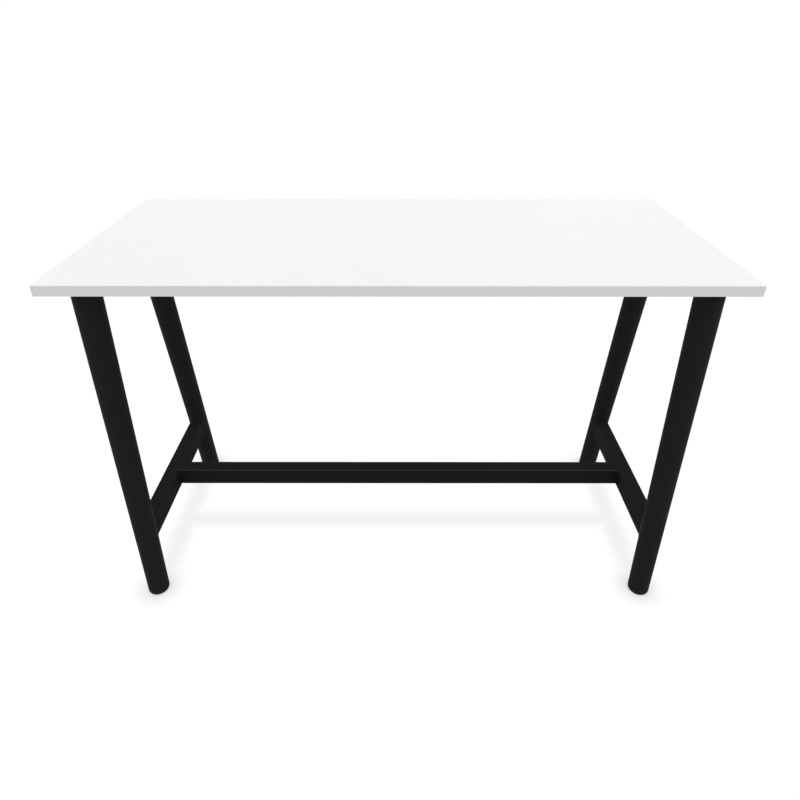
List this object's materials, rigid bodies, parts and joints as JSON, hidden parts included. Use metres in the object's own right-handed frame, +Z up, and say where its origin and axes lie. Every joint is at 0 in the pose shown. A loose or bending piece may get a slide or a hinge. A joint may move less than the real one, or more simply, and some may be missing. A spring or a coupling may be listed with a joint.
{
  "type": "high table",
  "caption": "High meeting table with a white laminated top on tapered black steel legs, with low side rails, a stretcher and screw-in levelling glides.",
  "frame": {"origin": "on the floor, under the middle of the table top", "axes": "+X along the table, +Z up, -Y towards the picture's viewer"},
  "size_m": [1.6058, 0.7, 1.05],
  "materials": {
    "white_laminate": "satin",
    "white_edging": "satin",
    "particle_board": "matte",
    "black_powder_coat": "satin",
    "black_steel": "satin",
    "zinc_steel": "satin",
    "black_plastic": "matte",
    "black_nylon": "matte"
  },
  "bodies": {
    "table": {"beam_bolts": "black_steel", "beam_rivet_nuts": "zinc_steel", "foot_nuts": "zinc_steel", "front_beam": "black_powder_coat", "front_beam_left_plate": "black_powder_coat", "front_beam_right_plate": "black_powder_coat", "front_edge_band": "white_edging", "front_left_crossbar_plug": "black_plastic", "front_left_foot_plate": "black_powder_coat", "front_left_leg": "black_powder_coat", "front_left_leg_cap": "black_powder_coat", "front_right_crossbar_plug": "black_plastic", "front_right_foot_plate": "black_powder_coat", "front_right_leg": "black_powder_coat", "front_right_leg_cap": "black_powder_coat", "left_crossbar": "black_powder_coat", "left_edge_band": "white_edging", "left_foot_rail": "black_powder_coat", "left_stretcher_plate": "black_powder_coat", "rail_sleeves": "zinc_steel", "rear_beam": "black_powder_coat", "rear_beam_left_plate": "black_powder_coat", "rear_beam_right_plate": "black_powder_coat", "rear_edge_band": "white_edging", "rear_left_crossbar_plug": "black_plastic", "rear_left_foot_plate": "black_powder_coat", "rear_left_leg": "black_powder_coat", "rear_left_leg_cap": "black_powder_coat", "rear_right_crossbar_plug": "black_plastic", "rear_right_foot_plate": "black_powder_coat", "rear_right_leg": "black_powder_coat", "rear_right_leg_cap": "black_powder_coat", "right_crossbar": "black_powder_coat", "right_edge_band": "white_edging", "right_foot_rail": "black_powder_coat", "right_stretcher_plate": "black_powder_coat", "stretcher": "black_powder_coat", "stretcher_bolts": "black_steel", "stretcher_washers": "black_steel", "top_core": "particle_board", "top_inserts": "zinc_steel", "top_laminate": "white_laminate", "top_screws": "zinc_steel", "underside_laminate": "white_laminate"},
    "front_left_sole": {"front_left_glide_sole": "black_nylon"},
    "front_left_adjuster": {"front_left_glide_base": "black_plastic", "front_left_glide_stud": "zinc_steel"},
    "front_right_sole": {"front_right_glide_sole": "black_nylon"},
    "front_right_adjuster": {"front_right_glide_base": "black_plastic", "front_right_glide_stud": "zinc_steel"},
    "rear_left_sole": {"rear_left_glide_sole": "black_nylon"},
    "rear_left_adjuster": {"rear_left_glide_base": "black_plastic", "rear_left_glide_stud": "zinc_steel"},
    "rear_right_sole": {"rear_right_glide_sole": "black_nylon"},
    "rear_right_adjuster": {"rear_right_glide_base": "black_plastic", "rear_right_glide_stud": "zinc_steel"}
  },
  "joints": [
    {"name": "front_left_glide_travel", "type": "slide", "parent": "table", "child": "front_left_sole", "axis": [0, 0, -1], "range_m": [0, 0.009]},
    {"name": "front_left_glide_turn", "type": "hinge", "parent": "front_left_sole", "child": "front_left_adjuster", "pos_m": [-0.767, -0.30568, 0.002], "axis": [0, 0, -1], "range_deg": [0, 2160]},
    {"name": "front_right_glide_travel", "type": "slide", "parent": "table", "child": "front_right_sole", "axis": [0, 0, -1], "range_m": [0, 0.009]},
    {"name": "front_right_glide_turn", "type": "hinge", "parent": "front_right_sole", "child": "front_right_adjuster", "pos_m": [0.767, -0.30568, 0.002], "axis": [0, 0, -1], "range_deg": [0, 2160]},
    {"name": "rear_left_glide_travel", "type": "slide", "parent": "table", "child": "rear_left_sole", "axis": [0, 0, -1], "range_m": [0, 0.009]},
    {"name": "rear_left_glide_turn", "type": "hinge", "parent": "rear_left_sole", "child": "rear_left_adjuster", "pos_m": [-0.767, 0.30568, 0.002], "axis": [0, 0, -1], "range_deg": [0, 2160]},
    {"name": "rear_right_glide_travel", "type": "slide", "parent": "table", "child": "rear_right_sole", "axis": [0, 0, -1], "range_m": [0, 0.009]},
    {"name": "rear_right_glide_turn", "type": "hinge", "parent": "rear_right_sole", "child": "rear_right_adjuster", "pos_m": [0.767, 0.30568, 0.002], "axis": [0, 0, -1], "range_deg": [0, 2160]}
  ],
  "couplings": [
    {"joint": "front_left_glide_travel", "follows": "front_left_glide_turn", "m_per_rad": 0.00023873},
    {"joint": "front_right_glide_travel", "follows": "front_right_glide_turn", "m_per_rad": 0.00023873},
    {"joint": "rear_left_glide_travel", "follows": "rear_left_glide_turn", "m_per_rad": 0.00023873},
    {"joint": "rear_right_glide_travel", "follows": "rear_right_glide_turn", "m_per_rad": 0.00023873}
  ]
}
